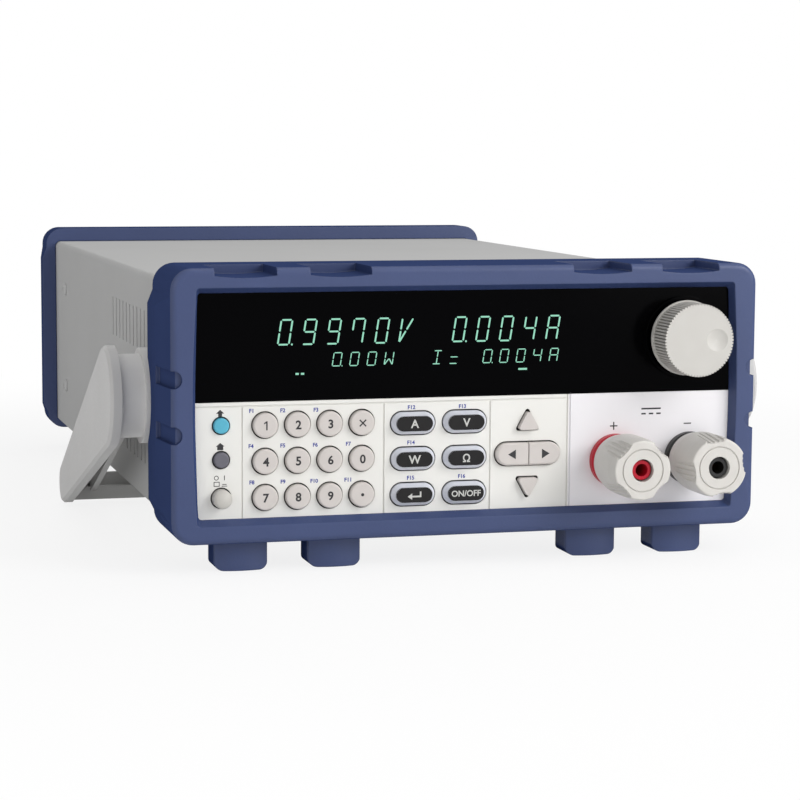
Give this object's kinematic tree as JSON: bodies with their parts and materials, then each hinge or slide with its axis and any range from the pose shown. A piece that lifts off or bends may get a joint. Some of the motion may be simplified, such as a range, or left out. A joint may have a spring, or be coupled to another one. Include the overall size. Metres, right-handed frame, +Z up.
{
  "type": "dc electronic load",
  "caption": "Bench DC electronic load: half-width metal cabinet with rubber bumpers, swing handle, keypad, dark display window, knurled knob and a pair of screw binding posts.",
  "frame": {"origin": "on the bench under the middle of the outline", "axes": "+Y from the front panel to the back, +Z up, +X to the right seen from the front"},
  "size_m": [0.257, 0.3976, 0.1107],
  "materials": {
    "grey_paint": "fine textured powder coat",
    "zinc_steel": "zinc plated",
    "blue_rubber": "matte moulded elastomer",
    "ivory_abs": "fine moulded texture",
    "smoked_acrylic": "polished",
    "tube_glass": "glossy dark tube",
    "circuit_board": "solder mask",
    "bare_aluminium": "extruded",
    "black_plastic": "moulded",
    "copper": "plain",
    "core_steel": "varnished",
    "brass": "turned",
    "red_plastic": "moulded",
    "grey_plastic": "moulded",
    "green_plastic": "moulded",
    "cream_plastic": "moulded",
    "key_rubber": "satin silicone",
    "clear_rubber": "translucent silicone with a dark top",
    "sky_rubber": "satin silicone",
    "grey_rubber": "satin silicone"
  },
  "bodies": {
    "cabinet": {"base_tray": "zinc_steel", "top_cover": "grey_paint", "rear_panel": "grey_paint", "front_bumper": "blue_rubber", "rear_bumper": "blue_rubber", "front_bezel": "ivory_abs", "display_window": "smoked_acrylic", "display_tube": "tube_glass", "front_board": "circuit_board", "encoder": "zinc_steel", "power_board": "circuit_board", "heatsink": "bare_aluminium", "transistors": "black_plastic", "bus_bars": "copper", "transformer": "core_steel", "mains_inlet": "black_plastic", "fan_frame": "black_plastic", "terminal_studs": "brass", "positive_collar": "red_plastic", "negative_collar": "black_plastic", "positive_sleeve": "red_plastic", "negative_sleeve": "black_plastic", "handle_hubs": "grey_plastic", "case_screws": "zinc_steel", "serial_port": "zinc_steel", "sense_block": "green_plastic"},
    "handle": {"handle": "grey_plastic"},
    "knob": {"knob": "ivory_abs", "encoder_shaft": "zinc_steel"},
    "fan_rotor": {"fan_rotor": "black_plastic"},
    "power_button": {"power_button": "ivory_abs"},
    "fuse_drawer": {"fuse_drawer": "black_plastic"},
    "positive_washer": {"positive_washer": "zinc_steel"},
    "positive_cap": {"positive_cap": "cream_plastic"},
    "negative_washer": {"negative_washer": "zinc_steel"},
    "negative_cap": {"negative_cap": "cream_plastic"},
    "key_1": {"key_1": "key_rubber"},
    "key_2": {"key_2": "key_rubber"},
    "key_3": {"key_3": "key_rubber"},
    "key_escape": {"key_escape": "key_rubber"},
    "key_4": {"key_4": "key_rubber"},
    "key_5": {"key_5": "key_rubber"},
    "key_6": {"key_6": "key_rubber"},
    "key_0": {"key_0": "key_rubber"},
    "key_7": {"key_7": "key_rubber"},
    "key_8": {"key_8": "key_rubber"},
    "key_9": {"key_9": "key_rubber"},
    "key_point": {"key_point": "key_rubber"},
    "current_key": {"current_key": "clear_rubber"},
    "voltage_key": {"voltage_key": "clear_rubber"},
    "watt_key": {"watt_key": "clear_rubber"},
    "resistance_key": {"resistance_key": "clear_rubber"},
    "enter_key": {"enter_key": "clear_rubber"},
    "load_key": {"load_key": "clear_rubber"},
    "up_key": {"up_key": "key_rubber"},
    "down_key": {"down_key": "key_rubber"},
    "left_key": {"left_key": "key_rubber"},
    "right_key": {"right_key": "key_rubber"},
    "shift_key": {"shift_key": "sky_rubber"},
    "local_key": {"local_key": "grey_rubber"}
  },
  "joints": [
    {"name": "handle_swing", "type": "hinge", "parent": "cabinet", "child": "handle", "pos_m": [0, -0.12025, 0.0601], "axis": [-1, 0, 0], "range_deg": [0, 300]},
    {"name": "knob_turn", "type": "hinge", "parent": "cabinet", "child": "knob", "pos_m": [0.0837, -0.16925, 0.0828], "axis": [0, -1, 0], "continuous": true},
    {"name": "fan_spin", "type": "hinge", "parent": "cabinet", "child": "fan_rotor", "pos_m": [0.048, 0.17075, 0.0601], "axis": [0, 1, 0], "continuous": true},
    {"name": "power_push", "type": "slide", "parent": "cabinet", "child": "power_button", "axis": [0, 1, 0], "range_m": [0, 0.0025], "stiffness_N_per_m": 600},
    {"name": "fuse_pull", "type": "slide", "parent": "cabinet", "child": "fuse_drawer", "axis": [0, 1, 0], "range_m": [0, 0.015]},
    {"name": "positive_travel", "type": "slide", "parent": "cabinet", "child": "positive_washer", "axis": [0, -1, 0], "range_m": [0, 0.005]},
    {"name": "positive_turn", "type": "hinge", "parent": "positive_washer", "child": "positive_cap", "pos_m": [0.0571, -0.16925, 0.0368], "axis": [0, -1, 0], "range_deg": [0, 1441]},
    {"name": "negative_travel", "type": "slide", "parent": "cabinet", "child": "negative_washer", "axis": [0, -1, 0], "range_m": [0, 0.005]},
    {"name": "negative_turn", "type": "hinge", "parent": "negative_washer", "child": "negative_cap", "pos_m": [0.0871, -0.16925, 0.0368], "axis": [0, -1, 0], "range_deg": [0, 1441]},
    {"name": "key_1_press", "type": "slide", "parent": "cabinet", "child": "key_1", "axis": [0, 1, 0], "range_m": [0, 0.001], "stiffness_N_per_m": 500},
    {"name": "key_2_press", "type": "slide", "parent": "cabinet", "child": "key_2", "axis": [0, 1, 0], "range_m": [0, 0.001], "stiffness_N_per_m": 500},
    {"name": "key_3_press", "type": "slide", "parent": "cabinet", "child": "key_3", "axis": [0, 1, 0], "range_m": [0, 0.001], "stiffness_N_per_m": 500},
    {"name": "key_escape_press", "type": "slide", "parent": "cabinet", "child": "key_escape", "axis": [0, 1, 0], "range_m": [0, 0.001], "stiffness_N_per_m": 500},
    {"name": "key_4_press", "type": "slide", "parent": "cabinet", "child": "key_4", "axis": [0, 1, 0], "range_m": [0, 0.001], "stiffness_N_per_m": 500},
    {"name": "key_5_press", "type": "slide", "parent": "cabinet", "child": "key_5", "axis": [0, 1, 0], "range_m": [0, 0.001], "stiffness_N_per_m": 500},
    {"name": "key_6_press", "type": "slide", "parent": "cabinet", "child": "key_6", "axis": [0, 1, 0], "range_m": [0, 0.001], "stiffness_N_per_m": 500},
    {"name": "key_0_press", "type": "slide", "parent": "cabinet", "child": "key_0", "axis": [0, 1, 0], "range_m": [0, 0.001], "stiffness_N_per_m": 500},
    {"name": "key_7_press", "type": "slide", "parent": "cabinet", "child": "key_7", "axis": [0, 1, 0], "range_m": [0, 0.001], "stiffness_N_per_m": 500},
    {"name": "key_8_press", "type": "slide", "parent": "cabinet", "child": "key_8", "axis": [0, 1, 0], "range_m": [0, 0.001], "stiffness_N_per_m": 500},
    {"name": "key_9_press", "type": "slide", "parent": "cabinet", "child": "key_9", "axis": [0, 1, 0], "range_m": [0, 0.001], "stiffness_N_per_m": 500},
    {"name": "key_point_press", "type": "slide", "parent": "cabinet", "child": "key_point", "axis": [0, 1, 0], "range_m": [0, 0.001], "stiffness_N_per_m": 500},
    {"name": "current_key_press", "type": "slide", "parent": "cabinet", "child": "current_key", "axis": [0, 1, 0], "range_m": [0, 0.001], "stiffness_N_per_m": 500},
    {"name": "voltage_key_press", "type": "slide", "parent": "cabinet", "child": "voltage_key", "axis": [0, 1, 0], "range_m": [0, 0.001], "stiffness_N_per_m": 500},
    {"name": "watt_key_press", "type": "slide", "parent": "cabinet", "child": "watt_key", "axis": [0, 1, 0], "range_m": [0, 0.001], "stiffness_N_per_m": 500},
    {"name": "resistance_key_press", "type": "slide", "parent": "cabinet", "child": "resistance_key", "axis": [0, 1, 0], "range_m": [0, 0.001], "stiffness_N_per_m": 500},
    {"name": "enter_key_press", "type": "slide", "parent": "cabinet", "child": "enter_key", "axis": [0, 1, 0], "range_m": [0, 0.001], "stiffness_N_per_m": 500},
    {"name": "load_key_press", "type": "slide", "parent": "cabinet", "child": "load_key", "axis": [0, 1, 0], "range_m": [0, 0.001], "stiffness_N_per_m": 500},
    {"name": "up_key_press", "type": "slide", "parent": "cabinet", "child": "up_key", "axis": [0, 1, 0], "range_m": [0, 0.001], "stiffness_N_per_m": 500},
    {"name": "down_key_press", "type": "slide", "parent": "cabinet", "child": "down_key", "axis": [0, 1, 0], "range_m": [0, 0.001], "stiffness_N_per_m": 500},
    {"name": "left_key_press", "type": "slide", "parent": "cabinet", "child": "left_key", "axis": [0, 1, 0], "range_m": [0, 0.001], "stiffness_N_per_m": 500},
    {"name": "right_key_press", "type": "slide", "parent": "cabinet", "child": "right_key", "axis": [0, 1, 0], "range_m": [0, 0.001], "stiffness_N_per_m": 500},
    {"name": "shift_key_press", "type": "slide", "parent": "cabinet", "child": "shift_key", "axis": [0, 1, 0], "range_m": [0, 0.001], "stiffness_N_per_m": 500},
    {"name": "local_key_press", "type": "slide", "parent": "cabinet", "child": "local_key", "axis": [0, 1, 0], "range_m": [0, 0.001], "stiffness_N_per_m": 500}
  ],
  "couplings": [
    {"joint": "positive_turn", "follows": "positive_travel", "rad_per_m": 5026.5},
    {"joint": "negative_turn", "follows": "negative_travel", "rad_per_m": 5026.5}
  ]
}
